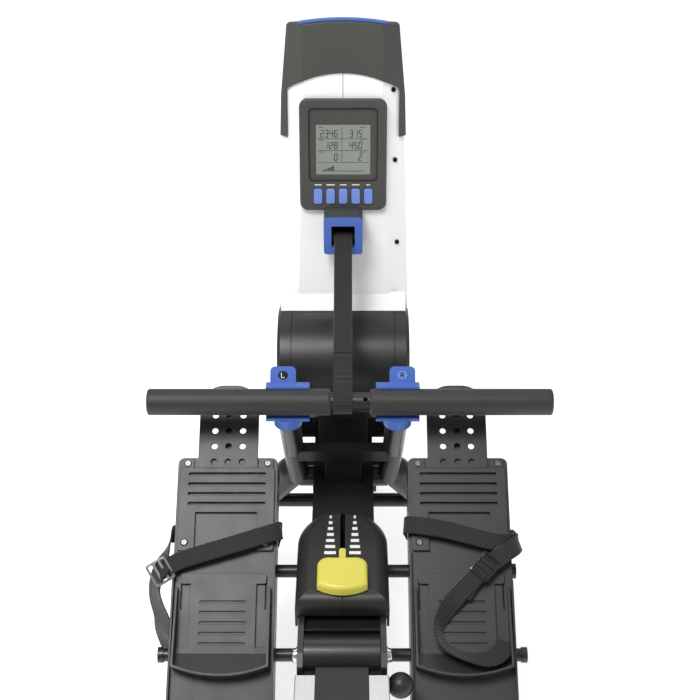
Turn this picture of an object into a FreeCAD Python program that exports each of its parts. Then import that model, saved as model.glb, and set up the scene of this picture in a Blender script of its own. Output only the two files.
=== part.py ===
"""Folding rowing machine, built as separate named pieces in one frame.

Millimetres.  +Y is the way the rower faces, +X is the rower's right, +Z is up.
The origin is the middle of the machine's footprint on the floor.
"""
import FreeCAD
import Part
import math
import os

V = FreeCAD.Vector
OUT = "parts"

# Whole machine
FRONT_Y = 965.0
REAR_Y = -965.0

# Main beam
BEAM_HALF = 40.0
BEAM_TOP = 280.0
BEAM_LOW = 230.0
BEAM_REAR = 325.0
WALL = 2.5

# Front legs, on the right side
LEG_ELBOW = V(74, 668, 236)
LEG_FOOT = V(215, 742, 38)

# Fold hinge
HINGE_Y = 281.0
HINGE_Z = 275.0
BOLT_R = 6.0
KNUCKLE_R = 24.0
KNUCKLE_HALF = 43.5
PLATE_IN = 44.0
PLATE_OUT = 51.0
RUN = 0.06
LOCK_Y = 257.0
LOCK_Z = 252.0
LOCK_R = 3.9

# Rail
RAIL_HALF = 53.0
RAIL_TOP = 280.0
RAIL_LOW = 236.0
RAIL_FRONT = 246.0
RAIL_REAR = -935.0

# Pull handle, at rest in its cradles
HANDLE_Y = 535.0
HANDLE_Z = 450.0
HANDLE_LEFT = -241.0
HANDLE_RIGHT = 259.0
GRIP_R = 16.5
TUBE_R = 12.5

# Pull strap
STRAP_W = 24.0

# Tower
FACE_Y = 775.0
FACE_Z = 590.0
LEAN = 12.0
SHELL_WALL = 3.0
TOP_Z = 832.0
ROOF_FALL = 24.0
CROWN_R = 330.0
DRUM_Y = 720.0
DRUM_Z = 388.0
DRUM_R = 78.0
DRUM_HALF = 88.0
FLY_Y = 845.0
FLY_Z = 500.0
FLY_R = 78.0
ARM_Y = 796.0
ARM_Z = 610.0
ROLLER_Y = 752.0
ROLLER_Z = 566.0

# Pedals
PEDAL_X = 144.0
PEDAL_Y = 521.0
PEDAL_Z = 374.0
PEDAL_TILT = 35.0
PEDAL_HALF = 62.5

# Seat
SEAT_Y = -365.0


def save(name, shape):
    """Write one named piece."""
    shape.exportStep(os.path.join(OUT, name + ".step"))


def box(x0, x1, y0, y1, z0, z1):
    """Block between two corners."""
    return Part.makeBox(x1 - x0, y1 - y0, z1 - z0, V(x0, y0, z0))


def rod(start, end, radius):
    """Round bar between two points."""
    run = end - start
    return Part.makeCylinder(radius, run.Length, start, run)


def bar_x(x0, x1, y, z, radius):
    """Round bar along X."""
    return Part.makeCylinder(radius, x1 - x0, V(x0, y, z), V(1, 0, 0))


def ring_x(x0, x1, y, z, outer, inner):
    """Ring whose axis is along X."""
    return bar_x(x0, x1, y, z, outer).cut(bar_x(x0 - 1, x1 + 1, y, z, inner))


def fuse(shapes):
    """Join shapes that touch into one solid."""
    whole = shapes[0]
    for shape in shapes[1:]:
        whole = whole.fuse(shape)
    return whole.removeSplitter()


def cut(shape, tools):
    """Remove every tool from the shape."""
    for tool in tools:
        shape = shape.cut(tool)
    return shape


def mirrored(shape):
    """The same piece on the other side of the machine."""
    return shape.mirror(V(0, 0, 0), V(1, 0, 0))


def both_sides(shape):
    """A group of the piece and its mirror image."""
    return Part.makeCompound([shape, mirrored(shape)])


def bent_bar(points, radius):
    """Round bar through several points, with ball-shaped elbows."""
    parts = [rod(a, b, radius) for a, b in zip(points, points[1:])]
    parts += [Part.makeSphere(radius, p) for p in points[1:-1]]
    return fuse(parts)


def bent_tube(points, radius, wall):
    """Hollow version of bent_bar."""
    return bent_bar(points, radius).cut(bent_bar(points, radius - wall))


def prism_x(points, x0, x1):
    """Outline in the Y, Z plane, extended along X."""
    loop = [V(x0, y, z) for y, z in points]
    face = Part.Face(Part.makePolygon(loop + [loop[0]]))
    return face.extrude(V(x1 - x0, 0, 0))


def prism_z(points, z0, z1):
    """Outline in the X, Y plane, extended along Z."""
    loop = [V(x, y, z0) for x, y in points]
    face = Part.Face(Part.makePolygon(loop + [loop[0]]))
    return face.extrude(V(0, 0, z1 - z0))


def rounded_slab(x0, x1, y0, y1, z0, z1, radius):
    """Block with its four upright edges rounded."""
    block = box(x0, x1, y0, y1, z0, z1)
    upright = [e for e in block.Edges if abs(e.Vertexes[0].Z - e.Vertexes[-1].Z) > 1e-6]
    return block.makeFillet(radius, upright)


def round_edges(shape, radius, picked):
    """Fillet the edges that the picked test accepts."""
    return shape.makeFillet(radius, [e for e in shape.Edges if picked(e.BoundBox)])


def on_face(shape):
    """Move a piece drawn flat onto the tower's leaning front face.

    Drawn with X across, Y up the face and Z out of the face.
    """
    shape = shape.copy()
    turn = FreeCAD.Rotation(V(1, 0, 0), 90.0 - LEAN)
    move = FreeCAD.Placement(V(0, FACE_Y, FACE_Z), turn)
    shape.Placement = move.multiply(shape.Placement)
    return shape


def on_pedal(shape, side):
    """Move a piece drawn flat onto a pedal's slope.

    Drawn with Y zero at the top edge and negative down the slope.
    """
    shape = shape.copy()
    turn = FreeCAD.Rotation(V(1, 0, 0), PEDAL_TILT)
    move = FreeCAD.Placement(V(PEDAL_X, PEDAL_Y, PEDAL_Z), turn)
    shape.Placement = move.multiply(shape.Placement)
    return shape if side > 0 else mirrored(shape)


# ---------------------------------------------------------------- frame

def foot_bar_points():
    """Middle points (Y, Z) of the two bars that carry the pedals."""
    return [(431.0, 266.0), (342.0, 212.0)]


def main_beam():
    """Square tube along the middle, with the front strut and its wheel fork."""
    outer = box(-BEAM_HALF, BEAM_HALF, BEAM_REAR, 955, BEAM_LOW, BEAM_TOP)
    inner = box(-BEAM_HALF + WALL, BEAM_HALF - WALL, BEAM_REAR + 3, 956,
                BEAM_LOW + WALL, BEAM_TOP - WALL)
    beam = outer.cut(inner)
    strut = box(-25, 25, 900, 940, 50, BEAM_LOW + 1)
    strut = strut.cut(box(-22.5, 22.5, 902.5, 937.5, 53, BEAM_LOW - 2))
    forks = [box(x, x + 4, 905, 935, 22, 52) for x in (-25, 21)]
    beam = fuse([beam, strut] + forks)
    y, z = foot_bar_points()[0]
    return cut(beam, [bar_x(-60, 60, y, z, 8.2), bar_x(-60, 60, 920, 35, 6.0)])


def hinge_fork():
    """Two plates and a collar at the back of the beam that hold the rail."""
    outline = [(248, 262), (248, 244), (262, 232), (350, 228), (350, 288), (322, 296),
               (268, 293), (254, 284)]
    plates = [prism_x(outline, x, x + PLATE_OUT - PLATE_IN) for x in (PLATE_IN, -PLATE_OUT)]
    under = box(-PLATE_IN - 1, PLATE_IN + 1, BEAM_REAR, 350, 226, 229.9)
    apron = box(-PLATE_IN - 1, PLATE_IN + 1, 308, 345, 284, 287)
    lip = box(-PLATE_IN - 1, PLATE_IN + 1, 306, 309, 281, 289.5)
    packing = [box(x, x + 5, BEAM_REAR, 350, 228, 286) for x in (40.1, -45.1)]
    fork = fuse(plates + [under, apron, lip] + packing)
    bolt_bore = bar_x(-60, 60, HINGE_Y, HINGE_Z, BOLT_R)
    pin_bore = bar_x(40, 60, LOCK_Y, LOCK_Z, LOCK_R + RUN)
    return cut(fork, [bolt_bore, pin_bore])


def hinge_bolt():
    """Hinge bolt with a domed head and a domed nut."""
    shank = bar_x(-PLATE_OUT - 1, PLATE_OUT + 1, HINGE_Y, HINGE_Z, BOLT_R)
    head = bar_x(PLATE_OUT + 0.1, PLATE_OUT + 6, HINGE_Y, HINGE_Z, 8.5)
    head = round_edges(head, 2.5, lambda b: b.XMin > PLATE_OUT + 5)
    washer = bar_x(PLATE_OUT + 0.02, PLATE_OUT + 1.5, HINGE_Y, HINGE_Z, 10)
    return fuse([shank, head, mirrored(head), washer, mirrored(washer)])


def leg_run():
    """Unit direction of the right leg, pointing down to its foot."""
    run = LEG_FOOT - LEG_ELBOW
    run.normalize()
    return run


def front_legs():
    """Splayed pair of legs with a crossbar between them."""
    top = V(54, 664, 250)
    run = leg_run()
    leg = bent_bar([top, LEG_ELBOW, LEG_FOOT], 22)
    leg = leg.cut(rod(LEG_ELBOW + run * 25, LEG_FOOT + run * 5, 20))
    stub = box(BEAM_HALF + 0.02, 62, 647, 681, 236, 264)
    side = leg.fuse(stub)
    bar = Part.makeCylinder(10, 200, V(-100, 688, 168), V(1, 0, 0))
    solid_leg = bent_bar([top, LEG_ELBOW, LEG_FOOT], 21.9)
    bar = cut(bar, [solid_leg, mirrored(solid_leg)])
    middle = [s for s in bar.Solids if abs(s.CenterOfMass.x) < 20]
    return fuse([side, mirrored(side), middle[0]])


def rubber_feet():
    """Four round floor pads: two on the legs and two on the middle foot."""
    leg_pad = Part.makeCone(31, 25, 26, V(215, 742, 0), V(0, 0, 1))
    sock = rod(V(209.5, 739, 20), V(200, 734, 60), 24.3)
    tube = rod(LEG_FOOT + leg_run() * 12, LEG_FOOT - leg_run() * 100, 22.05)
    leg_pad = cut(leg_pad.fuse(sock), [tube, box(150, 260, 700, 800, -30, 0)])
    leg_pad = leg_pad.common(box(150, 249, 700, 800, 0, 90))
    middle_pad = rounded_slab(130, 172, 350, 392, 0, 12, 8)
    return Part.makeCompound([leg_pad, mirrored(leg_pad), middle_pad, mirrored(middle_pad)])


def middle_foot():
    """Short post and cross tube under the fork that carry the hinge end."""
    post = box(-22, 22, 356, 386, 43, BEAM_LOW - 0.02)
    post = post.cut(box(-19.5, 19.5, 358.5, 383.5, 47, BEAM_LOW - 3))
    cross = rounded_slab(-170, 170, 353, 389, 12, 44, 3)
    cross = cross.cut(box(-166, 166, 355.5, 386.5, 14.5, 41.5))
    brace = prism_x([(385, 180), (460, 229.9), (430, 229.9), (385, 205)], -3, 3)
    return fuse([post, cross, brace])


def foot_bars():
    """Two bars across the machine, and the capped ends that stick out."""
    bars = []
    for (y, z), reach in zip(foot_bar_points(), (215, 223)):
        bar = bar_x(-reach + 6, reach - 6, y, z, 8)
        cap = bar_x(reach - 7, reach, y, z, 9.5)
        bars.append(fuse([bar, cap, mirrored(cap)]))
    return Part.makeCompound(bars)


def handle_posts():
    """Two upright tubes that hold the handle's cradles, with a cross piece."""
    top = V(68, 538, 428)
    knee = V(66, 600, 330)
    low = V(60, 626, 262)
    post = bent_tube([top, knee, low], 14, 2)
    foot = bar_x(BEAM_HALF + 0.02, 60, 626, 262, 14)
    bridge = box(-62, 62, 586, 606, 318, 334)
    inside = bent_bar([top, knee, low], 12)
    bridge = cut(bridge, [inside, mirrored(inside)])
    bridge = [s for s in bridge.Solids if abs(s.CenterOfMass.x) < 30][0]
    stem = box(-24, 24, 588, 604, BEAM_TOP + 0.02, 320)
    side = post.fuse(foot)
    return fuse([side, mirrored(side), bridge, stem])


def cradle():
    """Open hook for the handle, with an upright tab above it."""
    hold = bar_x(41, 95, HANDLE_Y, HANDLE_Z, GRIP_R + 3.4)
    hollow = bar_x(40, 96, HANDLE_Y, HANDLE_Z, GRIP_R + 0.4)
    centre = V(0, HANDLE_Y, HANDLE_Z)
    away = box(40, 96, -60, 0, -40, 60)
    away.rotate(V(0, 0, 0), V(1, 0, 0), -14)
    away.translate(centre)
    hook = cut(hold, [hollow, away])
    upper = box(41, 95, HANDLE_Y + 11.5, HANDLE_Y + 20, HANDLE_Z + 13, HANDLE_Z + 16)
    lower = box(41, 95, HANDLE_Y - 12, HANDLE_Y + 14, HANDLE_Z - 21, HANDLE_Z - 17.5)
    tab = rounded_slab(-16, 16, -1, 24, -2.5, 2.5, 6)
    tab.rotate(V(0, 0, 0), V(1, 0, 0), 55)
    tab.translate(V(74, HANDLE_Y + 18, HANDLE_Z + 12))
    boss = rod(V(68, 533, 420), V(68, 533, 432), 17.5)
    boss = boss.cut(bar_x(40, 96, HANDLE_Y, HANDLE_Z, GRIP_R + 0.4))
    body = fuse([hook, upper, lower, boss, tab])
    return body.cut(rod(V(68, 538, 428), V(66, 600, 330), 14.02))


def handle_cradles():
    """Both cradles."""
    return both_sides(cradle())


def end_caps():
    """Plastic plugs: the beam's front end and the ends of the middle foot."""
    front = rounded_slab(-BEAM_HALF, BEAM_HALF, 955.1, FRONT_Y, BEAM_LOW, BEAM_TOP, 3)
    side = box(170.1, 176, 353, 389, 12, 44)
    return Part.makeCompound([front, side, mirrored(side)])


# ---------------------------------------------------------------- tower

def tower_section(z, grow):
    """Outline of the tower at one height, widened by grow."""
    front = FACE_Y - (FACE_Z - z) * math.tan(math.radians(LEAN)) - grow
    half = 89.0 - (z - 440.0) * 0.035 + grow
    rear = 952.0 - (z - 290.0) * 0.08 + grow
    flat = half - 27.0
    side = [(flat, front), (half, front + 19), (half, rear - 26), (half - 22, rear)]
    points = side + [(-x, y) for x, y in reversed(side)]
    loop = [V(x, y, z) for x, y in points]
    return Part.makePolygon(loop + [loop[0]])


def tower_block(low, high, grow):
    """Solid tower between two heights."""
    ends = [tower_section(low, grow), tower_section(high, grow)]
    return Part.makeLoft(ends, True, True)


def chin(grow):
    """Wedge that carries the white face out over the drum."""
    outline = [(755, 479 + grow), (724 - grow, 467.4 + grow), (722 - grow, 440), (770, 425)]
    half = 84.0 + grow
    return prism_x(outline, -half, half)


def crown(radius):
    """Long barrel whose top line follows the crowned top of the tower."""
    return Part.makeCylinder(radius, 400, V(0, 700, TOP_Z - CROWN_R), V(0, 1, 0))


def roof(drop):
    """Everything above the crowned roof, which falls away towards the front end."""
    block = box(-150, 150, 0, 300, 0, 200)
    block.rotate(V(0, 0, 0), V(1, 0, 0), -ROOF_FALL)
    block.translate(V(0, FACE_Y + 56, TOP_Z - drop))
    above = box(-150, 150, 750, 1000, TOP_Z - 70, TOP_Z + 60)
    return [block, above.cut(crown(CROWN_R - drop))]


def shoulders(start, inward):
    """Wedges outside the tower's top that make it narrower towards the roof."""
    corner = (89.0 - (start - 440.0) * 0.035 + 2.2 - inward, start)
    outline = [corner, (corner[0] - 11.0, 850), (140, 850), (140, start)]
    loop = [V(x, 600, z) for x, z in outline]
    wedge = Part.Face(Part.makePolygon(loop + [loop[0]])).extrude(V(0, 500, 0))
    return [wedge, mirrored(wedge)]


def tower_shell():
    """White shell of the tower before it is split down the middle."""
    outer = cut(tower_block(292, TOP_Z, 0), roof(3) + shoulders(735.0, 2.2)).fuse(chin(0))
    inner = tower_block(291, TOP_Z, -SHELL_WALL)
    inner = cut(inner, roof(6) + shoulders(735.0, 2.2 + SHELL_WALL))
    shell = outer.cut(inner.fuse(chin(-SHELL_WALL)))
    drum = bar_x(-120, 120, DRUM_Y, DRUM_Z, DRUM_R + 0.6)
    below = box(-120, 120, 600, 797, 280, DRUM_Z)
    window = on_face(box(-49, 49, 10, 146, -30, 30))
    mouth = box(-24, 24, 740, 800, 547, 599)
    return cut(shell, [drum, below, window, mouth])


def tower_shell_half(side):
    """One half of the shell, stopping just short of the middle seam."""
    half = box(0.25, 200, 500, 1000, 200, 900)
    if side < 0:
        half = mirrored(half)
    return tower_shell().common(half)


def tower_hood():
    """Dark cap over the top, with an arched lower edge and two side strips."""
    outer = cut(tower_block(680, TOP_Z + 5, 2.2), roof(0) + shoulders(735.0, 0))
    outer = round_edges(outer, 6, lambda b: b.XMin * b.XMax > 0 and b.YLength > 40 and b.ZMin > 765)
    hood = outer.cut(cut(tower_block(670, TOP_Z, 0.3), roof(2.7) + shoulders(735.0, 1.9)))
    arch = Part.makeCylinder(134, 400, V(0, 49, -300))
    arch = arch.common(box(-73, 73, -100, 200, -300, 100))
    front = on_face(arch)
    behind = box(-120, 120, 838, 1000, 600, 745)
    low = box(-120, 120, 700, 1000, 600, 684)
    return cut(hood, [front, behind, low]).removeSplitter()


def hood_trim():
    """Thin bright strip, arched like the crown, along the hood's top front edge."""
    front = FACE_Y - (FACE_Z - TOP_Z) * math.tan(math.radians(LEAN))
    strip = box(-57, 57, front + 3, front + 12, TOP_Z - 20, TOP_Z + 20)
    return strip.common(crown(CROWN_R + 1.8)).cut(crown(CROWN_R + 0.03))


def drum_cover():
    """Round cover in front of the tower's foot, open to the tower behind."""
    outer = bar_x(-DRUM_HALF, DRUM_HALF, DRUM_Y, DRUM_Z, DRUM_R)
    outer = outer.makeChamfer(4, [e for e in outer.Edges if e.BoundBox.XLength < 1e-6])
    foot = box(-34, 34, 672, 768, 284.2, 330)
    inner = bar_x(-DRUM_HALF + 3, DRUM_HALF - 3, DRUM_Y, DRUM_Z, DRUM_R - 3)
    foot_room = box(-31, 31, 675, 765, 283, 331)
    grooves = [ring_x(x, x + 1.5, DRUM_Y, DRUM_Z, DRUM_R + 1, DRUM_R - 0.9)
               for x in (68, -69.5)]
    back = box(-81, 81, 760, 810, 340, 480)
    top = box(-81, 81, 738, 790, 420, 480)
    stand_slots = [box(x, x + 6, 697, 743, 280, 330) for x in (65, -71)]
    return cut(outer.fuse(foot), [inner, foot_room, back, top] + grooves + stand_slots)


def shell_screws():
    """Screws along the tower's right bevel, which hold the two halves together."""
    found = []
    for z in (745.0, 655.0, 545.0):
        front = FACE_Y - (FACE_Z - z) * math.tan(math.radians(LEAN))
        x = 89.0 - (z - 440.0) * 0.035 - 13.5
        out = V(19, -27, 6.4)
        out.normalize()
        seat = V(x, front + 9.5, z) + out * 0.05
        found.append(rod(seat, seat + out * 1.6, 3.2))
    return found


def tower_post():
    """Upright inside the shell, with the stand for the strap reel."""
    post = box(-25, 12, 825, 865, 280.1, 640)
    post = post.cut(box(-22, 9, 828, 862, 284, 637))
    arm = box(2, 9, ARM_Y - 7, 830, 601, 619)
    base = box(-74, 74, 690, 866, 280.05, 284)
    plate = [(700, 283), (740, 283), (732, 402), (708, 402)]
    plates = [prism_x(plate, x, x + 4) for x in (66, -70)]
    stand = fuse([post, arm, base] + plates)
    holes = [bar_x(-90, 90, DRUM_Y, DRUM_Z, 8), bar_x(-30, 20, FLY_Y, FLY_Z, 6),
             bar_x(0, 20, ARM_Y, ARM_Z, 4)]
    return cut(stand, holes)


def axle_shafts():
    """Fixed shafts: reel and drive pulley, flywheel, magnet arm, guide roller, wheels."""
    shafts = [bar_x(-76, 76, DRUM_Y, DRUM_Z, 8), bar_x(-29, 70, FLY_Y, FLY_Z, 6),
              bar_x(2, 62, ARM_Y, ARM_Z, 4), bar_x(-22, 22, ROLLER_Y, ROLLER_Z, 3),
              bar_x(-60, 60, 920, 35, 6)]
    return Part.makeCompound(shafts)


def flywheel():
    """Steel disc with a heavy rim and a small belt pulley."""
    disc = bar_x(26, 50, FLY_Y, FLY_Z, FLY_R)
    dish = ring_x(44, 51, FLY_Y, FLY_Z, 62, 18)
    dish_back = ring_x(25, 32, FLY_Y, FLY_Z, 62, 18)
    hub = bar_x(50, 66, FLY_Y, FLY_Z, 15)
    grooves = [ring_x(x, x + 1, FLY_Y, FLY_Z, 16, 14) for x in (56, 58.5, 61)]
    wheel = cut(disc.fuse(hub), [dish, dish_back] + grooves)
    return wheel.cut(bar_x(20, 70, FLY_Y, FLY_Z, 6 + RUN))


def drive_pulley():
    """Large belt pulley beside the reel."""
    wheel = bar_x(53, 64, DRUM_Y, DRUM_Z, 52)
    dish = ring_x(52, 56, DRUM_Y, DRUM_Z, 44, 16)
    holes = []
    for step in range(5):
        angle = math.radians(72 * step)
        y = DRUM_Y + 30 * math.cos(angle)
        z = DRUM_Z + 30 * math.sin(angle)
        holes.append(bar_x(50, 70, y, z, 7))
    return cut(wheel, [dish, bar_x(50, 70, DRUM_Y, DRUM_Z, 8 + RUN)] + holes)


def belt_outline(extra):
    """Band-shaped block round both pulleys, wider than the pulleys by extra."""
    big, small = 52 + extra, 15 + extra
    run = V(0, FLY_Y - DRUM_Y, FLY_Z - DRUM_Z)
    length = run.Length
    along = V(0, run.y / length, run.z / length)
    across = V(0, -along.z, along.y)
    sink = (big - small) / length
    rise = math.sqrt(1 - sink * sink)
    corners = []
    for sign in (1, -1):
        way = along * sink + across * (rise * sign)
        first = V(0, DRUM_Y, DRUM_Z) + way * big
        second = V(0, FLY_Y, FLY_Z) + way * small
        corners.append((first, second))
    ring = [corners[0][0], corners[0][1], corners[1][1], corners[1][0]]
    middle = prism_x([(p.y, p.z) for p in ring], 54, 63)
    return fuse([middle, bar_x(54, 63, DRUM_Y, DRUM_Z, big), bar_x(54, 63, FLY_Y, FLY_Z, small)])


def drive_belt():
    """Flat belt from the drive pulley to the flywheel."""
    return belt_outline(2.2).cut(belt_outline(0.3))


def strap_reel():
    """Spool that winds the pull strap."""
    hub = bar_x(-17, 17, DRUM_Y, DRUM_Z, 26)
    flanges = [bar_x(14, 17, DRUM_Y, DRUM_Z, 50), bar_x(-17, -14, DRUM_Y, DRUM_Z, 50)]
    return fuse([hub] + flanges).cut(bar_x(-20, 20, DRUM_Y, DRUM_Z, 8 + RUN))


def magnet_arm():
    """Arm that brings two magnets nearer to the flywheel's rim."""
    arm = box(16.5, 60, ARM_Y, 862, 604, 615)
    hub = bar_x(16.5, 56, ARM_Y, ARM_Z, 9)
    cheeks = [box(16.5, 20.5, 820, 862, 558, 612), box(56, 60, 820, 862, 568, 612)]
    pads = [box(20.4, 22.5, 824, 858, 560, 580), box(53.5, 56.1, 824, 858, 570, 580)]
    body = fuse([arm, hub] + cheeks + pads)
    return body.cut(bar_x(10, 70, ARM_Y, ARM_Z, 4 + RUN))


def strap_outlet():
    """Square neck that leads the strap out of the tower."""
    neck = rounded_slab(-25.5, 25.5, -27, 27, 739.1, 800, 5)
    neck.rotate(V(0, 0, 0), V(1, 0, 0), 90)
    neck.translate(V(0, 2 * 739.1 + 60.9, 572.5))
    lip = bar_x(-24, 24, 744.7, 549, 5.5)
    trim = tower_block(400, 800, -4.5)
    under_console = box(-30, 30, 767.5, 810, 593.4, 610)
    neck = neck.fuse(lip).cut(box(-15.4, 15.4, 730, 810, 558.5, 590.5))
    inside = neck.common(trim).common(box(-22, 22, 700, 810, 549, 597))
    neck = neck.cut(tower_block(300, 830, 0.25)).cut(under_console)
    cheeks = [box(x, x + 6.6, 760, 784, 552, 593) for x in (-22, 15.4)]
    body = fuse([neck, inside.cut(under_console)] + cheeks)
    return body.cut(bar_x(-22.1, 22.1, ROLLER_Y, ROLLER_Z, 3))


def outlet_frame():
    """Bright square frame round the strap outlet's mouth."""
    frame = rounded_slab(-25.5, 25.5, -25.5, 25.5, 0, 6, 4)
    frame = frame.cut(rounded_slab(-15.4, 15.4, -15.4, 15.4, -1, 7, 2))
    frame.rotate(V(0, 0, 0), V(1, 0, 0), 90)
    frame.translate(V(0, 739, 574.6))
    return frame


def guide_roller():
    """Roller just inside the outlet that the strap runs over."""
    return ring_x(-15, 15, ROLLER_Y, ROLLER_Z, 7, 3 + RUN)


# ---------------------------------------------------------------- console

BUTTON_X = (-33.0, -16.5, 0.0, 16.5, 33.0)


def console_case():
    """Display housing on the tower's front face."""
    front = rounded_slab(-57, 57, 4, 151, 0.3, 7.5, 11)
    front = round_edges(front, 2.2, lambda b: b.ZMin > 7.4)
    back = box(-47, 47, 12, 144, -4, 1)
    pocket = rounded_slab(-44.5, 44.5, 44, 139, 5.6, 9, 5)
    recess = box(-35.7, 35.7, 51.8, 117.8, 4, 9)
    holes = [rounded_slab(x - 5.9, x + 5.9, 12.9, 33.8, 1.5, 9, 3.2) for x in BUTTON_X]
    return on_face(cut(front.fuse(back), [pocket, recess] + holes))


def display_panel():
    """Flat screen in the console."""
    return on_face(box(-35.5, 35.5, 52, 117.6, 4.05, 5.2))


def button(x):
    """One console button."""
    key = rounded_slab(x - 5.7, x + 5.7, 13.1, 33.6, 3.2, 9.6, 3)
    key = round_edges(key, 1, lambda b: b.ZMin > 9.5)
    return on_face(key)


# ---------------------------------------------------------------- handle

def handle_tube():
    """Steel core of the handle, with one small cross hole."""
    tube = ring_x(HANDLE_LEFT + 3, HANDLE_RIGHT - 3, HANDLE_Y, HANDLE_Z, TUBE_R, TUBE_R - 2)
    hole = Part.makeCylinder(2.6, 40, V(28, HANDLE_Y, HANDLE_Z))
    hole.rotate(V(28, HANDLE_Y, HANDLE_Z), V(1, 0, 0), 40)
    return tube.cut(hole)


def grip(start, end):
    """Foam grip closed over the tube's outer end."""
    body = bar_x(start, end, HANDLE_Y, HANDLE_Z, GRIP_R)
    body = round_edges(body, 3, lambda b: b.XLength < 1e-6)
    return body.cut(bar_x(start - 1, end - 2.9, HANDLE_Y, HANDLE_Z, TUBE_R + 0.02))


def handle_grips():
    """Both grips; the strap sits left of the bare middle."""
    left = mirrored(grip(15, -HANDLE_LEFT))
    return Part.makeCompound([left, grip(34, HANDLE_RIGHT)])


STRAP_START = V(0, 528.7, 462.3)
STRAP_END = V(0, 747.7, 574.4)


def strap_band(start, end, thick, wide):
    """Flat band along the strap's line between two distances from the handle."""
    run = STRAP_END - STRAP_START
    tilt = math.degrees(math.atan2(run.z, run.y))
    band = box(-wide / 2, wide / 2, start, end, -thick / 2, thick / 2)
    band.rotate(V(0, 0, 0), V(1, 0, 0), tilt)
    band.translate(STRAP_START)
    return band


def strap_loop():
    """Sewn loop of webbing round the handle."""
    loop = ring_x(-STRAP_W / 2, STRAP_W / 2, HANDLE_Y, HANDLE_Z, TUBE_R + 2.3, TUBE_R + 0.03)
    tail = strap_band(0, 72, 2.2, STRAP_W)
    under = strap_band(12, 70, 2.0, STRAP_W - 0.4)
    under.translate(V(0, 0.9, -1.8))
    body = fuse([loop, tail, under])
    return body.cut(bar_x(-20, 20, HANDLE_Y, HANDLE_Z, TUBE_R + 0.03))


def pull_strap():
    """Free run of webbing from the sewn loop to the guide roller."""
    length = (STRAP_END - STRAP_START).Length
    return strap_band(72.2, length, 1.8, STRAP_W - 0.5)


# ---------------------------------------------------------------- resistance control

def dome_outline(half, rear):
    """Plan of the control housing: straight sides and a round front."""
    centre_y = 432.0
    back_left = V(-half, rear, 0)
    back_right = V(half, rear, 0)
    front_right = V(half, centre_y, 0)
    front_left = V(-half, centre_y, 0)
    edges = [Part.makeLine(back_left, back_right), Part.makeLine(back_right, front_right),
             Part.Arc(front_right, V(0, centre_y + half, 0), front_left).toShape(),
             Part.makeLine(front_left, back_left)]
    return Part.Face(Part.Wire(edges))


def control_housing():
    """Domed housing on the beam, before it is split down the middle."""
    outer = dome_outline(55, 322).extrude(V(0, 0, 42))
    outer = round_edges(outer, 16, lambda b: b.ZMin > 41.9)
    inner = dome_outline(52, 325).extrude(V(0, 0, 39))
    inner = round_edges(inner, 13, lambda b: b.ZMin > 38.9)
    shell = outer.cut(inner)
    shell.translate(V(0, 0, BEAM_TOP + 0.1))
    lips = [box(x, x + 3, 352, 418, 262, 290) for x in (52, -55)]
    slot = box(-2.8, 2.8, 345, 478, 300, 330)
    fork_room = box(-52, 52, 300, 351, 270, 297)
    return cut(fuse([shell] + lips), [slot, fork_room])


def control_housing_half(side):
    """One half of the control housing."""
    half = box(0.25, 100, 200, 600, 200, 400)
    if side < 0:
        half = mirrored(half)
    return control_housing().common(half)


def tension_lever():
    """Bright slider on top of the control housing."""
    corners = [V(-29.5, 337, 0), V(-29.5, 381, 0), V(29.5, 381, 0), V(29.5, 337, 0)]
    edges = [Part.makeLine(a, b) for a, b in zip(corners, corners[1:])]
    edges.append(Part.Arc(corners[3], V(0, 327.5, 0), corners[0]).toShape())
    knob = Part.Face(Part.Wire(edges)).extrude(V(0, 0, 13))
    upright = [e for e in knob.Edges
               if e.BoundBox.ZLength > 12 and e.BoundBox.YMin > 375]
    knob = knob.makeFillet(13, upright)
    knob = round_edges(knob, 5, lambda b: b.ZMin > 12.9)
    knob.translate(V(0, 0, 323.4))
    nib = rounded_slab(-4, 4, 372, 397, 323.4, 334, 3)
    stem = box(-2.3, 2.3, 350, 362, 308, 324)
    foot = box(-9, 9, 347, 365, 308, 312)
    return fuse([knob, nib, stem, foot])


# ---------------------------------------------------------------- pedals

def pedal_base(side):
    """Sloping tray, open underneath, carried by the two bars."""
    body = box(-PEDAL_HALF, PEDAL_HALF, -350, 0, -47, -1)
    body = round_edges(body, 8, lambda b: b.ZLength > 45)
    room = box(-PEDAL_HALF + 3, PEDAL_HALF - 3, -347, -3, -48, -4)
    rims = [box(-62.4, -59.8, -342, -121, -2, 6), box(59.8, 62.4, -342, -156, -2, 6)]
    tray = fuse([body.cut(room)] + rims)
    bores = []
    for y, z in foot_bar_points():
        down = V(0, y - PEDAL_Y, z - PEDAL_Z)
        turned = FreeCAD.Rotation(V(1, 0, 0), -PEDAL_TILT).multVec(down)
        bores.append(bar_x(-80, 80, turned.y, turned.z, 8.15))
    slots = [box(x, x + 1.6, -190, -150, -3.9, 0) for x in (-52, 50)]
    return on_pedal(cut(tray, bores + slots), side)


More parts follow.
